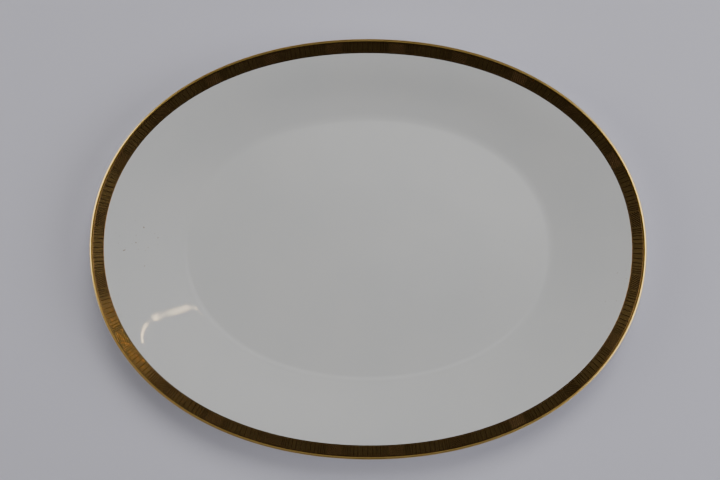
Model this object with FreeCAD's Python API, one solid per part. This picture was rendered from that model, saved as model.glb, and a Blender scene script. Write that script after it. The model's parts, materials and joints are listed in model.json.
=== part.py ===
import FreeCAD, Part
import math
import os

# Oval china serving platter: white glazed porcelain with an etched gold band along its rim.
# It lies on its foot ring. +X runs the long way and +Z is up, and the origin is on the table
# under the middle of the platter. All sizes are in millimetres.

# Plan
length = 380.0              # over the lip, along X
width = 287.0               # over the lip, along Y
outline_power = 2.1         # superellipse power of the plan: 2 is an ellipse, more is squarer
outline_points = 64         # points that the closed plan curve passes through

# Heights and thicknesses of the finished, glazed platter
height = 30.0               # table to the top of the lip
foot_height = 3.5           # table to the underside of the floor
floor_thickness = 5.5       # in the middle of the well
floor_fall = 0.8            # the floor is this much lower beside the well's corner
well_thickness = 4.6        # wall round the well's corner
lip_thickness = 2.4         # also the width of the full round on the lip

# Distances along the section
well_inset = 65.0           # from the lip to where the floor starts to turn up into the rim
end_rim_extra = 10.0        # the rim is this much wider at the two ends than at the sides
foot_setback = 7.0          # from the floor's turn in to the foot ring's outer wall
fall_width = 45.0           # from the floor's turn in to its flat middle
flat_margin = 6.0           # flat ring inside the falling floor

# Rounds
well_corner = 18.0          # hollow corner between floor and rim
crown_round = 300.0         # soft change from the flat middle to the falling floor
foot_width = 4.0            # foot ring at the table
foot_draft = 0.4            # each wall of the foot ring leans this much
foot_fillet = 1.5           # hollow corners where the foot ring grows from the floor
toe_round = 0.6             # bare edges of the foot ring

# Coats
glaze = 0.5                 # glaze over the porcelain
gold = 0.3                  # gold, let into the glaze
glaze_stop = 1.2            # bare height of the foot ring above the table
edge_line_face = 0.15       # how far the edge line comes onto the face from the lip's round
edge_line_turn = -30.0      # the edge line ends under the lip at this angle from level
outer_line_width = 0.7      # plain line between edge line and etched band
band_width = 6.3            # etched band
inner_line_width = 0.7      # plain line between etched band and white rim

# The section is a belt that runs from the middle of the floor out over the lip and back under
# to the middle of the base. x is 0 at the lip and negative further in. Each corner is a circle
# (x, z, radius): a positive radius holds porcelain, a negative one is a hollow corner. A coat
# boundary is the same belt with every radius less by its depth.
lip_radius = lip_thickness / 2
floor_top = foot_height + floor_thickness
well_axis_z = floor_top - floor_fall + well_corner
toe_radius = toe_round + glaze
crown_inset = well_inset + fall_width
foot_inset = well_inset + foot_setback
foot_inside = foot_inset + foot_width
foot_spread = foot_draft + foot_fillet
CROWN, WELL, LIP, KNEE, FOOT_OUT, TOE_OUT, TOE_IN, FOOT_IN = range(8)
corners = [
    (-crown_inset, floor_top - crown_round, crown_round),
    (-well_inset, well_axis_z, -well_corner),
    (-lip_radius, height - lip_radius, lip_radius),
    (-well_inset, well_axis_z, well_corner + well_thickness),
    (-foot_inset + foot_spread, foot_height - foot_fillet, -foot_fillet),
    (-foot_inset - toe_radius, toe_round, toe_radius),
    (-foot_inside + toe_radius, toe_round, toe_radius),
    (-foot_inside - foot_spread, foot_height - foot_fillet, -foot_fillet),
]
middle_x = -crown_inset - flat_margin


def facing(first, second):
    """Angle of the outward normal of the straight that joins two corners."""
    across = second[0] - first[0]
    up = second[1] - first[1]
    spread = (first[2] - second[2]) / math.hypot(across, up)
    return math.atan2(up, across) + math.acos(spread)


normals = [math.radians(90)]
normals += [facing(corners[k], corners[k + 1]) for k in range(len(corners) - 1)]
normals += [math.radians(270)]


def corner_point(number, angle, depth):
    x, z, radius = corners[number]
    reach = radius - depth
    return FreeCAD.Vector(x + reach * math.cos(angle), 0, z + reach * math.sin(angle))


def straight_at_x(number, x, depth):
    """Point at x on the straight that leads into a corner."""
    angle = normals[number]
    start = straight_start(number, depth)
    return FreeCAD.Vector(x, 0, start.z - (x - start.x) * math.cos(angle) / math.sin(angle))


def straight_at_z(number, z, depth):
    angle = normals[number]
    start = straight_start(number, depth)
    return FreeCAD.Vector(start.x - (z - start.z) * math.sin(angle) / math.cos(angle), 0, z)


def straight_start(number, depth):
    if number == 0:
        return FreeCAD.Vector(middle_x, 0, floor_top - depth)
    return corner_point(number - 1, normals[number], depth)


def straight_end(number, depth):
    if number == len(corners):
        return FreeCAD.Vector(middle_x, 0, foot_height + depth)
    return corner_point(number, normals[number], depth)


# Where the coats end
edge_line_x = corner_point(LIP, normals[LIP], 0).x - edge_line_face
outer_line_x = edge_line_x - outer_line_width
band_x = outer_line_x - band_width
gold_x = band_x - inner_line_width
lip_end = math.radians(edge_line_turn)

# The white rim narrows from its two ends to its sides between these two places
blend_outer_x = gold_x
blend_inner_x = -well_inset + well_corner / 2
blend_middle_x = (blend_outer_x + blend_inner_x) / 2


def plan_curve():
    """Closed superellipse of unit size."""
    points = []
    for k in range(outline_points):
        angle = 2 * math.pi * k / outline_points
        across = math.cos(angle)
        along = math.sin(angle)
        x = math.copysign(abs(across) ** (2 / outline_power), across)
        y = math.copysign(abs(along) ** (2 / outline_power), along)
        points.append(FreeCAD.Vector(x, y, 0))
    curve = Part.BSplineCurve()
    curve.interpolate(Points=points, PeriodicFlag=True)
    return curve


plan = plan_curve()


def half_sizes(x):
    """Half length and half width of the plan curve at a distance x from the lip."""
    narrowing = end_rim_extra if x < blend_middle_x else 0
    return length / 2 + x, width / 2 + x + narrowing


def ring_edge(point):
    """The plan curve through one point of the section."""
    half_length, half_width = half_sizes(point.x)
    poles = [FreeCAD.Vector(half_length * unit.x, half_width * unit.y, point.z)
             for unit in plan.getPoles()]
    ring = Part.BSplineCurve()
    ring.buildFromPolesMultsKnots(poles, plan.getMultiplicities(), plan.getKnots(), True,
                                  plan.Degree)
    return ring.toShape()


def cap_face(point):
    """Flat face inside the ring through one point of the section."""
    return Part.Face(Part.Wire(ring_edge(point)))


def ring_face(curve):
    """Carry one curve of the section round the plan; a level line makes a true plane."""
    ends = [curve.StartPoint, curve.EndPoint]
    if curve.Degree == 1 and abs(ends[0].z - ends[1].z) < 1e-9:
        wires = [Part.Wire(ring_edge(point)) for point in ends]
        return Part.makeFace(wires, "Part::FaceMakerBullseye").Faces[0]
    rows = []
    weights = []
    for unit in plan.getPoles():
        row = []
        for pole in curve.getPoles():
            half_length, half_width = half_sizes(pole.x)
            row.append(FreeCAD.Vector(half_length * unit.x, half_width * unit.y, pole.z))
        rows.append(row)
        weights.append(curve.getWeights())
    surface = Part.BSplineSurface()
    surface.buildFromPolesMultsKnots(rows, plan.getMultiplicities(), curve.getMultiplicities(),
                                     plan.getKnots(), curve.getKnots(), True, False,
                                     plan.Degree, curve.Degree, weights)
    return surface.toShape()


def line_curves(start, end):
    """A straight of the section, cut where the rim's narrowing starts and ends."""
    cuts = []
    for x in (blend_outer_x, blend_inner_x):
        share = (x - start.x) / (end.x - start.x) if abs(end.x - start.x) > 1e-6 else -1
        if 1e-6 < share < 1 - 1e-6:
            cuts.append((share, start + (end - start) * share))
    stops = [start] + [point for share, point in sorted(cuts, key=lambda cut: cut[0])] + [end]
    curves = []
    for first, last in zip(stops, stops[1:]):
        curve = Part.LineSegment(first, last).toBSpline()
        if (first.x - blend_middle_x) * (last.x - blend_middle_x) < 0:
            curve.increaseDegree(3)
        curves.append(curve)
    return curves


def arc_curves(number, start_angle, end_angle, depth):
    """An arc of one corner, in pieces of a right angle or less; porcelain is passed clockwise."""
    sense = -1 if corners[number][2] > 0 else 1
    turn = (sense * (end_angle - start_angle)) % (2 * math.pi)
    count = math.ceil(turn / (math.pi / 2))
    angles = [start_angle + sense * turn * k / (2 * count) for k in range(2 * count + 1)]
    points = [corner_point(number, angle, depth) for angle in angles]
    return [Part.Arc(*points[k:k + 3]).toBSpline() for k in range(0, 2 * count, 2)]


def belt(depth, first, last, start=None, end=None):
    """Section curves at one depth, from straight number first to straight number last."""
    curves = []
    for number in range(first, last + 1):
        line_start = start if start and number == first else straight_start(number, depth)
        line_end = end if end and number == last else straight_end(number, depth)
        curves += line_curves(line_start, line_end)
        if number < last:
            curves += arc_curves(number, normals[number], normals[number + 1], depth)
    return curves


def solid_from(curves, caps):
    faces = [ring_face(curve) for curve in curves] + [cap_face(point) for point in caps]
    shell = Part.makeCompound(faces)
    shell.sewShape(1e-4)
    solid = Part.Solid(shell.Shells[0] if shell.ShapeType != "Shell" else shell)
    if solid.Volume < 0:
        solid.reverse()
    return solid


def china_body():
    """Fired porcelain: floor, hollow corner, rim, lip and foot ring in one piece."""
    caps = [straight_start(CROWN, glaze), straight_end(len(corners), glaze)]
    return solid_from(belt(glaze, 0, len(corners)), caps)


def glaze_coat():
    """Clear glaze over face, lip and back, down to the outer wall of the foot ring."""
    rim_in = straight_at_x(LIP, gold_x, 0)
    rim_in_deep = straight_at_x(LIP, gold_x, gold)
    lip_under = corner_point(LIP, lip_end, 0)
    lip_under_deep = corner_point(LIP, lip_end, gold)
    foot_end = straight_at_z(TOE_OUT, glaze_stop, 0)
    foot_end_deep = straight_at_z(TOE_OUT, glaze_stop, glaze)
    curves = belt(0, CROWN, LIP, end=rim_in)
    curves += line_curves(rim_in, rim_in_deep)
    curves += line_curves(rim_in_deep, straight_end(LIP, gold))
    curves += arc_curves(LIP, normals[LIP], lip_end, gold)
    curves += line_curves(lip_under_deep, lip_under)
    curves += arc_curves(LIP, lip_end, normals[KNEE], 0)
    curves += belt(0, KNEE, TOE_OUT, end=foot_end)
    curves += line_curves(foot_end, foot_end_deep)
    curves += belt(glaze, CROWN, TOE_OUT, end=foot_end_deep)
    return solid_from(curves, [straight_start(CROWN, 0), straight_start(CROWN, glaze)])


def base_glaze():
    """Glaze over the base inside the foot ring."""
    last = len(corners)
    foot_end = straight_at_z(FOOT_IN, glaze_stop, 0)
    foot_end_deep = straight_at_z(FOOT_IN, glaze_stop, glaze)
    curves = belt(0, FOOT_IN, last, start=foot_end)
    curves += line_curves(foot_end, foot_end_deep)
    curves += belt(glaze, FOOT_IN, last, start=foot_end_deep)
    return solid_from(curves, [straight_end(last, 0), straight_end(last, glaze)])


def gold_edge_line():
    """Polished gold round the lip."""
    face_end = straight_at_x(LIP, edge_line_x, 0)
    face_end_deep = straight_at_x(LIP, edge_line_x, gold)
    curves = line_curves(face_end, straight_end(LIP, 0))
    curves += arc_curves(LIP, normals[LIP], lip_end, 0)
    curves += line_curves(corner_point(LIP, lip_end, 0), corner_point(LIP, lip_end, gold))
    curves += arc_curves(LIP, normals[LIP], lip_end, gold)
    curves += line_curves(straight_end(LIP, gold), face_end_deep)
    curves += line_curves(face_end_deep, face_end)
    return solid_from(curves, [])


def gold_ring(outer_x, inner_x):
    """A flat gold ring on the rim's face between two distances from the lip."""
    points = [straight_at_x(LIP, outer_x, 0), straight_at_x(LIP, inner_x, 0),
              straight_at_x(LIP, inner_x, gold), straight_at_x(LIP, outer_x, gold)]
    curves = []
    for k in range(len(points)):
        curves += line_curves(points[k - 1], points[k])
    return solid_from(curves, [])


pieces = {
    "china_body": china_body(),
    "glaze_coat": glaze_coat(),
    "base_glaze": base_glaze(),
    "gold_edge_line": gold_edge_line(),
    "outer_gold_line": gold_ring(edge_line_x, outer_line_x),
    "etched_gold_band": gold_ring(outer_line_x, band_x),
    "inner_gold_line": gold_ring(band_x, gold_x),
}

os.makedirs("parts", exist_ok=True)
for name, solid in pieces.items():
    print(f"{name}: {solid.Volume:.0f} mm3, valid {solid.isValid()}, closed {solid.isClosed()}")
    solid.exportStep(f"parts/{name}.step")
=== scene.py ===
import json
import math
import bmesh
import bpy
from mathutils import Matrix, Vector


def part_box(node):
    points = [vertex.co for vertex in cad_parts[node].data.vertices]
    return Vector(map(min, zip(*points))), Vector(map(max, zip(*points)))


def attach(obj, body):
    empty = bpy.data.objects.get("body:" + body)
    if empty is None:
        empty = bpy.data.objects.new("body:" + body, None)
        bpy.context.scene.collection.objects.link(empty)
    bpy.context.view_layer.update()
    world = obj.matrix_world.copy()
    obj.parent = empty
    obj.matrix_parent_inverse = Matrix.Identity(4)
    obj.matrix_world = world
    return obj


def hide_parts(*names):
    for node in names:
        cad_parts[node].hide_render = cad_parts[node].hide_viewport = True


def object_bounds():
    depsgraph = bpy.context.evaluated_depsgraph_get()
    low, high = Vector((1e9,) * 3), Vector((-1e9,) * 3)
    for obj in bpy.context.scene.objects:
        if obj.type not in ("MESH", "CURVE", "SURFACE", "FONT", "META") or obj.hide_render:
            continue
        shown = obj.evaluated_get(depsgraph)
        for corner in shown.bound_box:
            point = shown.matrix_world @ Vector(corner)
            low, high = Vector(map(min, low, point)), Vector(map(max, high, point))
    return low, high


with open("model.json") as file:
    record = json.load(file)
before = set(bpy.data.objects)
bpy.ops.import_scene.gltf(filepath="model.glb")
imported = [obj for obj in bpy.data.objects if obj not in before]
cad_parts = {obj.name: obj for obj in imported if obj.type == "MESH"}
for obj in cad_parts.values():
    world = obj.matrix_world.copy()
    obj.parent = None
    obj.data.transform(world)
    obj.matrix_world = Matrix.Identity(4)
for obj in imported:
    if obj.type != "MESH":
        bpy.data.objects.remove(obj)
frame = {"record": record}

cadLow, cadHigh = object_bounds()
print("frame loaded")

# Sizes are in metres. The plan, the heights and the places of the mounts come from the frame.
mounts = {mount["name"]: mount for mount in frame["record"]["mounts"]}
china = {
    "halfLength": (cadHigh.x - cadLow.x) / 2,
    "halfWidth": (cadHigh.y - cadLow.y) / 2,
    "lipTop": cadHigh.z,
    "floorTop": mounts["well_floor"]["pos_m"][2],
    "glazeEnd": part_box("base_glaze")[0].z,
    "glaze": 0.0005,
    "gold": 0.0003,
    "floorFall": 0.0008,            # the floor is lower beside the well's corner
    "floorThickness": 0.0055,
    "lipThickness": 0.0024,
    "wellThickness": 0.0046,
    "wellInset": 0.065,             # insets run in from the lip
    "crownInset": 0.110,
    "middleInset": 0.116,
    "footInset": 0.072,
    "endRimExtra": 0.010,           # the rim is wider at the two ends
    "wellCorner": 0.018,
    "crownRound": 0.300,
    "footWidth": 0.0040,
    "footDraft": 0.0004,
    "footFillet": 0.0015,
    "toeRound": 0.0006,
    "edgeLineFace": 0.00015,
    "edgeLineTurn": math.radians(-30),
    "outerLine": 0.0007,
    "band": 0.0063,
    "innerLine": 0.0007,
    "planSegments": 320,
    "planHandle": 0.585,            # 0.5523 makes an ellipse, more is squarer
    "arcSteps": 8,                  # loops round each corner of the section
    "rimSteps": 12,                 # loops across the rim
    "floorSteps": 8,                # loops across the falling floor
    "rollSteps": 6,                 # loops round the glaze's end on the foot ring
}


# Modelling helpers

def openEdit(piece):
    bpy.ops.object.select_all(action="DESELECT")
    piece.select_set(True)
    bpy.context.view_layer.objects.active = piece
    bpy.ops.object.mode_set(mode="EDIT")


def closeEdit():
    bpy.ops.object.mode_set(mode="OBJECT")
    bpy.ops.object.select_all(action="DESELECT")


def pick(piece, kind, test):
    # selects the vertices, edges or faces that pass a test, in edit mode
    bpy.ops.mesh.select_mode(type=kind)
    bpy.ops.mesh.select_all(action="DESELECT")
    grid = bmesh.from_edit_mesh(piece.data)
    group = {"VERT": grid.verts, "EDGE": grid.edges, "FACE": grid.faces}[kind]
    for item in group:
        item.select_set(test(item))
    grid.select_flush(True)
    bmesh.update_edit_mesh(piece.data)


def applyModifier(piece, kind, **settings):
    bpy.ops.object.select_all(action="DESELECT")
    piece.select_set(True)
    bpy.context.view_layer.objects.active = piece
    modifier = piece.modifiers.new(kind.title(), kind)
    for name, value in settings.items():
        setattr(modifier, name, value)
    bpy.ops.object.modifier_apply(modifier=modifier.name)
    bpy.ops.object.select_all(action="DESELECT")


def smoothShade(piece, degrees):
    bpy.ops.object.select_all(action="DESELECT")
    piece.select_set(True)
    bpy.context.view_layer.objects.active = piece
    bpy.ops.object.shade_smooth_by_angle(angle=math.radians(degrees))
    bpy.ops.object.select_all(action="DESELECT")


# The platter's section: a belt over eight round corners, from the middle of the floor
# out over the lip and back under to the middle of the base. x is 0 at the lip.

crown, well, lip, knee, footOut, toeOut, toeIn, footIn = range(8)


def sectionCorners():
    # each corner is x, z and radius; a negative radius is a hollow corner
    c = china
    wellAxis = c["floorTop"] - c["floorFall"] + c["wellCorner"]
    lipRadius = c["lipThickness"] / 2
    base = c["floorTop"] - c["floorThickness"]
    toe = c["toeRound"] + c["glaze"]
    footEnd = c["footInset"] + c["footWidth"]
    spread = c["footDraft"] + c["footFillet"]
    return [
        (-c["crownInset"], c["floorTop"] - c["crownRound"], c["crownRound"]),
        (-c["wellInset"], wellAxis, -c["wellCorner"]),
        (-lipRadius, c["lipTop"] - lipRadius, lipRadius),
        (-c["wellInset"], wellAxis, c["wellCorner"] + c["wellThickness"]),
        (-c["footInset"] + spread, base - c["footFillet"], -c["footFillet"]),
        (-c["footInset"] - toe, c["toeRound"], toe),
        (-footEnd + toe, c["toeRound"], toe),
        (-footEnd - spread, base - c["footFillet"], -c["footFillet"]),
    ]


corners = sectionCorners()


def straightNormals():
    angles = [math.pi / 2]
    for here, there in zip(corners, corners[1:]):
        across = there[0] - here[0]
        up = there[1] - here[1]
        lean = math.acos((here[2] - there[2]) / math.hypot(across, up))
        angles.append(math.atan2(up, across) + lean)
    return angles + [math.pi * 1.5]


normals = straightNormals()


def cornerPoint(number, angle, depth):
    x, z, radius = corners[number]
    return (x + (radius - depth) * math.cos(angle), z + (radius - depth) * math.sin(angle))


def arcPoints(number, depth, start=None, end=None):
    # points round one corner; a corner that holds porcelain is passed clockwise
    start = normals[number] if start is None else start
    end = normals[number + 1] if end is None else end
    sense = -1 if corners[number][2] > 0 else 1
    turn = (sense * (end - start)) % (2 * math.pi)
    steps = round(china["arcSteps"] * max(1, turn / (math.pi / 2)))
    return [cornerPoint(number, start + sense * turn * k / steps, depth) for k in range(steps + 1)]


def onStraight(number, depth, x=None, z=None):
    # point at a given x or z on the straight that leads into a corner
    angle = normals[number]
    startX, startZ = cornerPoint(number, angle, depth)
    if x is None:
        return (startX - (z - startZ) * math.tan(angle), z)
    return (x, startZ - (x - startX) / math.tan(angle))


lipTangent = cornerPoint(lip, normals[lip], 0)[0]
edgeLineEnd = lipTangent - china["edgeLineFace"]
outerLineEnd = edgeLineEnd - china["outerLine"]
bandEnd = outerLineEnd - china["band"]
goldEnd = bandEnd - china["innerLine"]
narrowEnd = -china["wellInset"] + china["wellCorner"] / 2    # inwards of it all is narrowed


def between(start, end, steps):
    # evenly spaced points after start and before end
    return [tuple(a + (b - a) * k / steps for a, b in zip(start, end)) for k in range(1, steps)]


def halfSizes(x):
    # half length and half width of the plan at a distance x from the lip
    share = min(1, max(0, (x - goldEnd) / (narrowEnd - goldEnd)))
    narrowing = china["endRimExtra"] * share * share * (3 - 2 * share)
    return china["halfLength"] + x, china["halfWidth"] + x + narrowing


# Making a ring from a section

def planCurve(name, halfLength, halfWidth, z):
    # a Bezier circle pulled a little squarer and stretched to the plan
    bpy.ops.object.select_all(action="DESELECT")
    bpy.ops.curve.primitive_bezier_circle_add(radius=1, location=(0, 0, 0))
    curve = bpy.context.object
    curve.name = name
    for point in curve.data.splines[0].bezier_points:
        point.handle_left_type = "FREE"
        point.handle_right_type = "FREE"
        along = (point.handle_right - point.co).normalized() * china["planHandle"]
        point.handle_right = point.co + along
        point.handle_left = point.co - along
    curve.data.resolution_u = china["planSegments"] // 4
    bpy.ops.object.mode_set(mode="EDIT")
    bpy.ops.curve.select_all(action="SELECT")
    bpy.ops.transform.resize(value=(halfLength, halfWidth, 1), center_override=(0, 0, 0))
    bpy.ops.transform.translate(value=(0, 0, z))
    bpy.ops.object.mode_set(mode="OBJECT")
    return curve


def closeMiddle(piece, level):
    # closes a flat middle with a grid of faces
    pick(piece, "EDGE", lambda edge: edge.is_boundary and abs(edge.verts[0].co.z - level) < 1e-6)
    bpy.ops.mesh.fill_grid(span=china["planSegments"] // 4, offset=china["planSegments"] // 8)


def ringFromSection(name, points, joined):
    # extrudes the plan loop along a section; joined closes the section, otherwise both ends
    # get a flat middle
    x, z = points[0]
    halfLength, halfWidth = halfSizes(x)
    piece = planCurve(name, halfLength, halfWidth, z)
    bpy.ops.object.convert(target="MESH")
    openEdit(piece)
    bpy.ops.mesh.select_mode(type="EDGE")
    bpy.ops.mesh.select_all(action="SELECT")
    for nextX, nextZ in points[1:]:
        nextLength, nextWidth = halfSizes(nextX)
        bpy.ops.mesh.extrude_edges_move()
        bpy.ops.transform.resize(value=(nextLength / halfLength, nextWidth / halfWidth, 1),
                                 center_override=(0, 0, 0))
        bpy.ops.transform.translate(value=(0, 0, nextZ - z))
        z, halfLength, halfWidth = nextZ, nextLength, nextWidth
    if joined:
        pick(piece, "EDGE", lambda edge: edge.is_boundary)
        bpy.ops.mesh.bridge_edge_loops()
    else:
        for level in (points[0][1], points[-1][1]):
            closeMiddle(piece, level)
    bpy.ops.mesh.select_all(action="SELECT")
    bpy.ops.mesh.normals_make_consistent(inside=False)
    closeEdit()
    return piece


def finishPiece(piece, material, nodes, smoothAngle=35):
    smoothShade(piece, smoothAngle)
    if not piece.data.materials:
        piece.data.materials.append(material)
    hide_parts(*nodes)
    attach(piece, "root")
    print("made", piece.name, len(piece.data.polygons), "faces")
    return piece


# Materials

def newMaterial(name, color, roughness, metallic=0.0):
    material = bpy.data.materials.new(name)
    material.use_nodes = True
    shader = material.node_tree.nodes["Principled BSDF"]
    shader.inputs["Base Color"].default_value = (*color, 1)
    shader.inputs["Roughness"].default_value = roughness
    shader.inputs["Metallic"].default_value = metallic
    return material, material.node_tree, shader


def addNode(tree, kind, **values):
    # inputs are named with underscores for spaces, and settings in lower case
    node = tree.nodes.new(kind)
    for name, value in values.items():
        label = name.replace("_", " ")
        if label in node.inputs:
            node.inputs[label].default_value = value
        else:
            setattr(node, name, value)
    return node


def objectNoise(tree, scale, detail=2.0, roughness=0.5, stretch=(1, 1, 1)):
    place = addNode(tree, "ShaderNodeTexCoord")
    mapping = addNode(tree, "ShaderNodeMapping")
    mapping.inputs["Scale"].default_value = stretch
    noise = addNode(tree, "ShaderNodeTexNoise", Scale=scale, Detail=detail, Roughness=roughness)
    tree.links.new(place.outputs["Object"], mapping.inputs["Vector"])
    tree.links.new(mapping.outputs["Vector"], noise.inputs["Vector"])
    return noise


def ramp(tree, source, stops):
    # stops are (place, color or grey)
    node = addNode(tree, "ShaderNodeValToRGB")
    band = node.color_ramp
    while len(band.elements) < len(stops):
        band.elements.new(0.5)
    for element, (place, color) in zip(band.elements, stops):
        element.position = place
        element.color = (color, color, color, 1) if isinstance(color, float) else (*color, 1)
    tree.links.new(source, node.inputs["Fac"])
    return node


def mixColor(tree, factor, first, second, how="MIX"):
    node = tree.nodes.new("ShaderNodeMix")
    node.data_type = "RGBA"
    node.blend_type = how
    for place, value in ((0, factor), (6, first), (7, second)):
        if hasattr(value, "links"):
            tree.links.new(value, node.inputs[place])
        else:
            node.inputs[place].default_value = value if place == 0 else (*value, 1)
    return node.outputs[2]


def addBump(tree, shader, height, distance, under=None):
    bump = addNode(tree, "ShaderNodeBump", Strength=1.0, Distance=distance)
    tree.links.new(height, bump.inputs["Height"])
    if under:
        tree.links.new(under.outputs["Normal"], bump.inputs["Normal"])
    tree.links.new(bump.outputs["Normal"], shader.inputs["Normal"])
    return bump


glazeLook = {
    "white": (0.80, 0.80, 0.775),
    "cloud": (0.775, 0.782, 0.762),     # faint unevenness of the fired body under the glaze
    "cloudScale": 22,
    "speck": (0.44, 0.35, 0.25),        # tiny iron specks
    "speckScale": 560,
    "speckAreas": 16,                   # specks lie only in a few patches of this noise
    "roughness": (0.02, 0.05),
    "glossScale": 35,
    "waveScale": 40,                    # slow waves that bend a reflection
    "waveHeight": 0.00016,
    "skinScale": 420,                   # the fine skin of the glaze
    "skinHeight": 0.000004,
    "ior": 1.5,
}


def makeGlaze():
    look = glazeLook
    material, tree, shader = newMaterial("whiteGlaze", look["white"], look["roughness"][0])
    cloud = ramp(tree, objectNoise(tree, look["cloudScale"], 3).outputs["Fac"],
                 [(0.35, 0.0), (0.7, 1.0)])
    body = mixColor(tree, cloud.outputs["Color"], look["white"], look["cloud"])
    specks = ramp(tree, objectNoise(tree, look["speckScale"], 0).outputs["Fac"],
                  [(0.80, 0.0), (0.83, 1.0)])
    places = ramp(tree, objectNoise(tree, look["speckAreas"], 0).outputs["Fac"],
                  [(0.74, 0.0), (0.76, 1.0)])
    both = addNode(tree, "ShaderNodeMath", operation="MULTIPLY")
    tree.links.new(specks.outputs["Color"], both.inputs[0])
    tree.links.new(places.outputs["Color"], both.inputs[1])
    color = mixColor(tree, both.outputs["Value"], body, look["speck"])
    tree.links.new(color, shader.inputs["Base Color"])
    low, high = look["roughness"]
    gloss = ramp(tree, objectNoise(tree, look["glossScale"], 4).outputs["Fac"],
                 [(0.3, low), (0.75, high)])
    tree.links.new(gloss.outputs["Color"], shader.inputs["Roughness"])
    wave = addBump(tree, shader, objectNoise(tree, look["waveScale"], 0).outputs["Fac"],
                   look["waveHeight"])
    addBump(tree, shader, objectNoise(tree, look["skinScale"], 2).outputs["Fac"],
            look["skinHeight"], wave)
    shader.inputs["IOR"].default_value = look["ior"]
    return material


bareLook = {
    "body": (0.70, 0.685, 0.65),
    "rubbed": (0.46, 0.44, 0.41),       # grey marks from standing on tables
    "rubScale": 130,
    "roughness": 0.75,
    "grainScale": 2600,
    "grainHeight": 0.00003,
}


def makeBareChina():
    look = bareLook
    material, tree, shader = newMaterial("bareChina", look["body"], look["roughness"])
    marks = ramp(tree, objectNoise(tree, look["rubScale"], 5, 0.65).outputs["Fac"],
                 [(0.5, 0.0), (0.72, 1.0)])
    color = mixColor(tree, marks.outputs["Color"], look["body"], look["rubbed"])
    tree.links.new(color, shader.inputs["Base Color"])
    addBump(tree, shader, objectNoise(tree, look["grainScale"], 3).outputs["Fac"],
            look["grainHeight"])
    return material


goldLook = {                        # two shades, then the lowest and highest roughness
    "polished": ((0.68, 0.465, 0.145), (0.64, 0.42, 0.12), 0.28, 0.34),
    "plain": ((0.17, 0.095, 0.032), (0.13, 0.07, 0.025), 0.22, 0.30),
    "etched": ((0.60, 0.39, 0.14), (0.55, 0.35, 0.12), 0.19, 0.24),
    # the gold of the cuts: rougher for the matte etched finish, and near-black as painted shade in
    # the recesses
    "groove": ((0.045, 0.025, 0.011), (0.030, 0.016, 0.007), 0.50, 0.65),
}


goldGrain = {
    "patchScale": 90,
    "rubScale": 700,
    "skinScale": 3500,
    "skinHeight": 0.000002,
}


def makeGold(name):
    bright, deep, low, high = goldLook[name]
    grain = goldGrain
    material, tree, shader = newMaterial(name + "Gold", bright, low, 1.0)
    patch = ramp(tree, objectNoise(tree, grain["patchScale"], 4, 0.6).outputs["Fac"],
                 [(0.35, 0.0), (0.68, 1.0)])
    color = mixColor(tree, patch.outputs["Color"], bright, deep)
    tree.links.new(color, shader.inputs["Base Color"])
    rub = ramp(tree, objectNoise(tree, grain["rubScale"], 3, 0.7).outputs["Fac"],
               [(0.3, low), (0.75, high)])
    tree.links.new(rub.outputs["Color"], shader.inputs["Roughness"])
    addBump(tree, shader, objectNoise(tree, grain["skinScale"], 2).outputs["Fac"],
            grain["skinHeight"])
    return material


whiteGlaze = makeGlaze()
bareChina = makeBareChina()
polishedGold = makeGold("polished")
plainGold = makeGold("plain")
etchedGold = makeGold("etched")
shadedGrooveGold = makeGold("groove")
print("materials made")


# The china and its glaze

middleX = -china["middleInset"]
floorTop = china["floorTop"]
baseTop = floorTop - china["floorThickness"]


def faceSection(depth, rimEnd):
    # from the middle of the floor to a point on the rim's face
    floorStart = cornerPoint(crown, normals[well], depth)
    floorEnd = cornerPoint(well, normals[well], depth)
    rimStart = cornerPoint(well, normals[lip], depth)
    return ([(middleX, floorTop - depth)] + arcPoints(crown, depth)
            + between(floorStart, floorEnd, china["floorSteps"]) + arcPoints(well, depth)
            + between(rimStart, rimEnd, china["rimSteps"]) + [rimEnd])


def backSection(depth, footPoint):
    # from under the lip to a point on the foot ring's outer wall
    rimStart = cornerPoint(lip, normals[knee], depth)
    rimEnd = cornerPoint(knee, normals[knee], depth)
    return ([rimStart] + between(rimStart, rimEnd, china["rimSteps"]) + arcPoints(knee, depth)
            + arcPoints(footOut, depth) + [footPoint])


def baseSection(depth, footPoint):
    # from the foot ring's inner wall to the middle of the base
    return [footPoint] + arcPoints(footIn, depth) + [(middleX, baseTop + depth)]


def glazeRoll(number):
    # the glaze ends on the foot ring in a small roll
    outside = onStraight(number, 0, z=china["glazeEnd"] + china["glaze"] * 0.8)
    inside = onStraight(number, china["glaze"], z=china["glazeEnd"])
    points = []
    for k in range(china["rollSteps"] + 1):
        turn = math.pi / 2 * k / china["rollSteps"]
        points.append((inside[0] + (outside[0] - inside[0]) * math.cos(turn),
                       outside[1] + (inside[1] - outside[1]) * math.sin(turn)))
    return points


def makeGlazeCoat():
    glaze, gold = china["glaze"], china["gold"]
    turn = china["edgeLineTurn"]
    channelEnd = onStraight(lip, gold, x=goldEnd)
    footRoll = glazeRoll(toeOut)
    points = faceSection(0, onStraight(lip, 0, x=goldEnd)) + [channelEnd]
    points += arcPoints(lip, gold, end=turn)
    points += arcPoints(lip, 0, start=turn)[:-1]
    points += backSection(0, footRoll[0]) + footRoll[1:]
    inside = faceSection(glaze, onStraight(lip, glaze, x=goldEnd))
    inside += arcPoints(lip, glaze)[:-1] + backSection(glaze, footRoll[-1])[:-1]
    points += inside[::-1]
    piece = ringFromSection("glazeCoat", points, False)
    return finishPiece(piece, whiteGlaze, ["glaze_coat"])


def makeBaseGlaze():
    glaze = china["glaze"]
    roll = glazeRoll(footIn)
    points = baseSection(0, roll[0])[::-1] + roll[1:] + baseSection(glaze, roll[-1])[1:]
    piece = ringFromSection("baseGlaze", points, False)
    return finishPiece(piece, whiteGlaze, ["base_glaze"])


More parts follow.
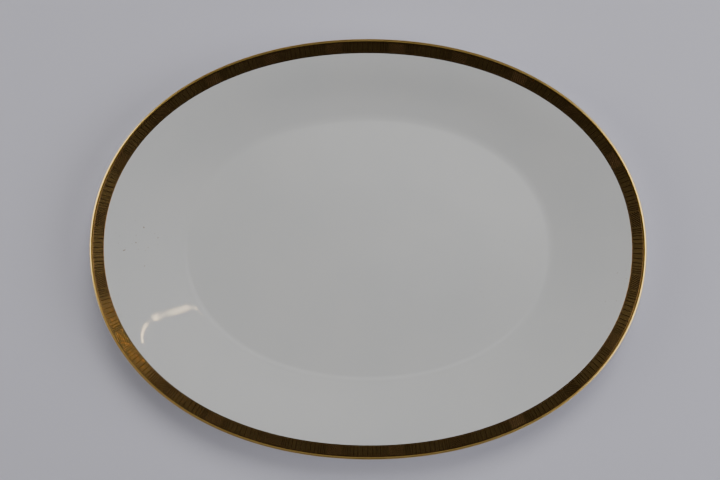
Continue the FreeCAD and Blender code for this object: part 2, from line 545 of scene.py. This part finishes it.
def makeChinaBody():
    glaze = china["glaze"]
    points = faceSection(glaze, onStraight(lip, glaze, x=goldEnd)) + arcPoints(lip, glaze)[:-1]
    points += backSection(glaze, cornerPoint(toeOut, normals[toeOut], glaze))[:-1]
    points += arcPoints(toeOut, glaze) + arcPoints(toeIn, glaze)
    points += baseSection(glaze, cornerPoint(footIn, normals[footIn], glaze))[1:]
    piece = ringFromSection("chinaBody", points, False)
    return finishPiece(piece, bareChina, ["china_body"])


makeChinaBody()
makeGlazeCoat()
makeBaseGlaze()


# The plain gold

goldLines = {
    "crownSteps": 6,        # loops across a thin line
    "crown": 0.00006,       # the middle of a line stands this much above its edges
}


def makeEdgeLine():
    gold, turn = china["gold"], china["edgeLineTurn"]
    points = [onStraight(lip, 0, x=edgeLineEnd)] + arcPoints(lip, 0, end=turn)
    points += arcPoints(lip, gold, end=turn)[::-1] + [onStraight(lip, gold, x=edgeLineEnd)]
    piece = ringFromSection("goldEdgeLine", points, True)
    return finishPiece(piece, polishedGold, ["gold_edge_line"])


def makeGoldLine(name, outerX, innerX, node):
    steps = goldLines["crownSteps"]
    points = []
    for k in range(steps + 1):
        share = k / steps
        dip = goldLines["crown"] * (2 * share - 1) ** 2
        points.append(onStraight(lip, dip, x=outerX + (innerX - outerX) * share))
    points += [onStraight(lip, china["gold"], x=x) for x in (innerX, outerX)]
    piece = ringFromSection(name, points, True)
    return finishPiece(piece, plainGold, [node])


makeEdgeLine()
makeGoldLine("outerGoldLine", edgeLineEnd, outerLineEnd, "outer_gold_line")
makeGoldLine("innerGoldLine", bandEnd, goldEnd, "inner_gold_line")
print("plain gold made")


# The etched band: one strip with a hatched block between flutes is modelled flat,
# mirrored and repeated, then bent round the rim

etching = {
    "repeats": 24,
    "blockLength": 0.0106,      # hatched block
    "blockBends": 7,            # parts of a block that bend with the rim
    "flutes": 14,               # cut lines between two blocks
    "tightPitch": 1.0,          # shares: lines stand close beside a block
    "widePitch": 3.0,           # and wide apart halfway to the next
    "spread": 3.0,              # how sharply they open out
    "fluteWidth": 0.00056,
    "fluteFloor": 0.00030,
    "fluteDepth": 0.00017,
    "hatchPitch": 0.00125,
    "hatchWidth": 0.00064,
    "hatchDepth": 0.00013,
    "hatchLean": math.radians(40),
    "margin": 0.00025,          # plain edge that closes the ends of the cuts
}


def flutePlaces(gap):
    # distances of the cut lines from the end of a block, over one gap
    spaces = etching["flutes"] + 1
    shares = []
    for k in range(spaces):
        opening = math.sin(math.pi * (k + 0.5) / spaces) ** etching["spread"]
        shares.append(etching["tightPitch"]
                      + (etching["widePitch"] - etching["tightPitch"]) * opening)
    scale = gap / sum(shares)
    places, reached = [], 0
    for share in shares[:-1]:
        reached += share * scale
        places.append(reached)
    return places


def cutAcross(x, y, normalX, normalY):
    bpy.ops.mesh.bisect(plane_co=(x, y, 0), plane_no=(normalX, normalY, 0), threshold=1e-6)


def cutAll(piece, x, y, normalX, normalY):
    bpy.ops.mesh.select_all(action="SELECT")
    cutAcross(x, y, normalX, normalY)


def lower(piece, test, depth):
    pick(piece, "VERT", test)
    bpy.ops.transform.translate(value=(0, 0, -depth))


def makeStrip(length, width):
    e = etching
    bpy.ops.object.select_all(action="DESELECT")
    bpy.ops.mesh.primitive_plane_add(size=1, location=(0, 0, 0))
    strip = bpy.context.object
    strip.name = "etchedGoldBand"
    openEdit(strip)
    bpy.ops.mesh.select_all(action="SELECT")
    bpy.ops.transform.resize(value=(length, width, 1), center_override=(0, 0, 0))
    edge = width / 2 - e["margin"]
    blockHalf = e["blockLength"] / 2
    blockInner = blockHalf - e["margin"]
    for y in (-edge, edge):
        cutAll(strip, 0, y, 0, 1)
    for x in (-blockHalf, -blockInner, blockInner, blockHalf):
        cutAll(strip, x, 0, 1, 0)
    for k in range(1, e["blockBends"]):
        cutAll(strip, blockInner * (2 * k / e["blockBends"] - 1), 0, 1, 0)
    gap = length - e["blockLength"]
    near = [place for place in flutePlaces(gap) if place < gap / 2]
    flutes = [blockHalf + place for place in near] + [-blockHalf - place for place in near]
    for x in flutes:
        for side in (-e["fluteWidth"], -e["fluteFloor"], e["fluteFloor"], e["fluteWidth"]):
            cutAll(strip, x + side / 2, 0, 1, 0)
    for x in flutes:
        lower(strip, lambda v: abs(v.co.x - x) < e["fluteFloor"] * 0.6
              and abs(v.co.y) < edge + 1e-6, e["fluteDepth"])
    # the hatch: slanting V cuts inside the block
    leanX, leanY = math.cos(e["hatchLean"]), math.sin(e["hatchLean"])
    reach = blockInner * leanX + edge * leanY
    count = int(reach / e["hatchPitch"])
    hatch = [k * e["hatchPitch"] for k in range(-count, count + 1)]

    def inBlock(face):
        middle = face.calc_center_median()
        return abs(middle.x) < blockInner and abs(middle.y) < edge

    for place in hatch:
        for side in (-e["hatchWidth"] / 2, 0, e["hatchWidth"] / 2):
            pick(strip, "FACE", inBlock)
            cutAcross((place + side) * leanX, (place + side) * leanY, leanX, leanY)
    for place in hatch:
        lower(strip, lambda v: abs(v.co.x * leanX + v.co.y * leanY - place) < 1e-6
              and abs(v.co.x) < blockInner + 1e-6 and abs(v.co.y) < edge + 1e-6, e["hatchDepth"])
    pick(strip, "FACE", lambda face: abs(face.calc_center_median().x) < blockHalf)
    bpy.ops.mesh.quads_convert_to_tris()
    closeEdit()
    return strip


def makeEtchedBand():
    middle = (outerLineEnd + bandEnd) / 2
    x, z = onStraight(lip, 0, x=middle)
    halfLength, halfWidth = halfSizes(middle)
    slope = normals[lip] - math.pi / 2
    path = planCurve("bandPath", halfLength, halfWidth, z)
    length = path.data.splines[0].calc_length() / etching["repeats"]
    strip = makeStrip(length, china["band"] / math.cos(slope))
    strip.data.materials.append(etchedGold)
    strip.data.materials.append(shadedGrooveGold)
    # faces sunk into the cuts get the near-black gold, which is painted shade in the recesses
    for face in strip.data.polygons:
        face.material_index = 1 if face.center.z < -etching["hatchDepth"] * 0.25 else 0
    openEdit(strip)
    bpy.ops.mesh.select_all(action="SELECT")
    bpy.ops.transform.rotate(value=-slope, orient_axis="X", center_override=(0, 0, 0))
    bpy.ops.transform.translate(value=(-length / 2, 0, 0))
    closeEdit()
    applyModifier(strip, "MIRROR", use_axis=(True, False, False), merge_threshold=1e-6)
    applyModifier(strip, "ARRAY", count=etching["repeats"] // 2, use_merge_vertices=True,
                  merge_threshold=1e-6)
    path.data.use_stretch = True
    path.data.use_deform_bounds = True
    applyModifier(strip, "CURVE", object=path, deform_axis="POS_X")
    bpy.data.objects.remove(path)
    openEdit(strip)
    bpy.ops.mesh.select_all(action="SELECT")
    bpy.ops.mesh.remove_doubles(threshold=0.00002)
    closeEdit()
    applyModifier(strip, "SOLIDIFY", thickness=china["gold"], offset=-1)
    return finishPiece(strip, etchedGold, ["etched_gold_band"], 12)


makeEtchedBand()


# Floor, lights and camera

studio = {
    "floorColor": (0.765, 0.755, 0.84),
    "floorRoughness": 0.8,
    "floorRadius": 3.0,
    "wallHeight": 1.4,
    "curveSteps": 8,
    "air": 0.02,
    "glow": 1.12,                       # a soft glow on the ceiling, beside the camera
    "glowPlace": (0.05, 0.105, 1.0),
    "glowFull": math.radians(3),
    "glowWide": math.radians(13),
}
# each light is place, width and height, watts, color, and whether matt and shiny surfaces
# show it; the two lamp bars are a small bent lamp that the glaze mirrors
lights = {
    "leftShine": ((-1.60, 0.32, 0.86), (1.6, 1.3), 33, (1.0, 0.97, 0.90), False, True),
    "rightShine": ((1.55, -0.05, 1.05), (2.9, 1.3), 57, (0.98, 0.98, 1.0), False, True),
    "lampStem": ((0.3790, 0.3125, 1.228), (0.110, 0.0072), 0.11, (1.0, 0.72, 0.38), False, True),
    "lampHook": ((0.4480, 0.2880, 1.228), (0.034, 0.005), 0.026, (1.0, 0.72, 0.38), False, True),
    "farFill": ((0.5, 1.6, 2.2), (1.4, 1.4), 26.5, (1.0, 1.0, 1.0), True, False),
    "leftFill": ((-1.6, 0.0, 1.3), (1.4, 1.4), 8, (1.0, 0.99, 0.98), True, False),
    "rightFill": ((1.6, 0.0, 1.3), (1.4, 1.4), 13, (0.95, 0.95, 1.0), True, False),
}
# the way that the long side of a lamp bar runs
lampAlong = {"lampStem": (0.862, -0.505, 0), "lampHook": (-0.290, 0.957, 0)}


def makeFloor():
    # a round floor that curves up into a wall far from the platter
    material = newMaterial("paleFloor", studio["floorColor"], studio["floorRoughness"])[0]
    bpy.ops.mesh.primitive_circle_add(vertices=96, radius=studio["floorRadius"],
                                      fill_type="NGON", location=(0, 0, 0))
    floor = bpy.context.object
    floor.name = "studioFloor"
    openEdit(floor)
    pick(floor, "EDGE", lambda edge: edge.is_boundary)
    curve = studio["wallHeight"] / 2
    lastRise, lastReach = 0, 1
    for k in range(1, studio["curveSteps"] + 1):
        turn = math.pi / 2 * k / studio["curveSteps"]
        rise = curve * (1 - math.cos(turn))
        reach = 1 + curve * math.sin(turn) / studio["floorRadius"]
        grow = reach / lastReach
        bpy.ops.mesh.extrude_edges_move()
        bpy.ops.transform.resize(value=(grow, grow, 1), center_override=(0, 0, 0))
        bpy.ops.transform.translate(value=(0, 0, rise - lastRise))
        lastRise, lastReach = rise, reach
    bpy.ops.mesh.extrude_edges_move()
    bpy.ops.transform.translate(value=(0, 0, curve))
    closeEdit()
    smoothShade(floor, 40)
    floor.data.materials.append(material)


def addLight(name, place, size, watts, color, matt, shiny):
    bpy.ops.object.light_add(type="AREA", location=place)
    light = bpy.context.object
    light.name = name
    light.data.shape = "ELLIPSE"
    light.data.size, light.data.size_y = size
    light.data.energy = watts
    light.data.color = color
    away = Vector(place).normalized()
    along = Vector(lampAlong.get(name, Vector((0, 0, 1)).cross(away)))
    up = away.cross(along).normalized()
    light.rotation_euler = Matrix((up.cross(away), up, away)).transposed().to_euler()
    light.visible_camera = False
    light.visible_diffuse = matt
    light.visible_glossy = shiny


def makeLights():
    for name, values in lights.items():
        addLight(name, *values)
    world = bpy.data.worlds.new("studioAir")
    world.use_nodes = True
    bpy.context.scene.world = world
    tree = world.node_tree
    place = addNode(tree, "ShaderNodeTexCoord")
    toGlow = addNode(tree, "ShaderNodeVectorMath", operation="DOT_PRODUCT")
    toGlow.inputs[1].default_value = Vector(studio["glowPlace"]).normalized()
    tree.links.new(place.outputs["Generated"], toGlow.inputs[0])
    glow = addNode(tree, "ShaderNodeMapRange", interpolation_type="SMOOTHSTEP")
    values = (math.cos(studio["glowWide"]), math.cos(studio["glowFull"]), studio["air"],
              studio["glow"])
    for name, value in zip(("From Min", "From Max", "To Min", "To Max"), values):
        glow.inputs[name].default_value = value
    tree.links.new(toGlow.outputs["Value"], glow.inputs["Value"])
    tree.links.new(glow.outputs["Result"], tree.nodes["Background"].inputs["Strength"])
    tree.nodes["Background"].inputs["Color"].default_value = (1, 1, 1, 1)


view = {
    "frameWidth": 0.4902,        # seen across the picture at the height of the lip
    "lens": 70,
    "leanX": math.radians(3.0),     # the camera stands a little to the right
    "leanY": math.radians(2.3),     # and a little towards the far side
    "offsetX": -0.0035,         # the platter lies a little right of the middle
    "offsetY": 0.0072,          # and a little low
}


def makeCamera():
    data = bpy.data.cameras.new("camera")
    camera = bpy.data.objects.new("camera", data)
    bpy.context.scene.collection.objects.link(camera)
    data.lens = view["lens"]
    distance = view["frameWidth"] * data.lens / data.sensor_width
    aim = Vector((view["offsetX"], view["offsetY"], china["lipTop"]))
    away = Vector((math.tan(view["leanX"]), math.tan(view["leanY"]), 1)).normalized()
    camera.location = aim + away * distance
    camera.rotation_mode = "QUATERNION"
    right = Vector((0, 1, 0)).cross(away).normalized()
    turn = Matrix((right, away.cross(right), away)).transposed()
    camera.rotation_quaternion = turn.to_quaternion()
    data.clip_start, data.clip_end = 0.05, 20
    bpy.context.scene.camera = camera


makeFloor()
makeLights()
makeCamera()
print("studio made")
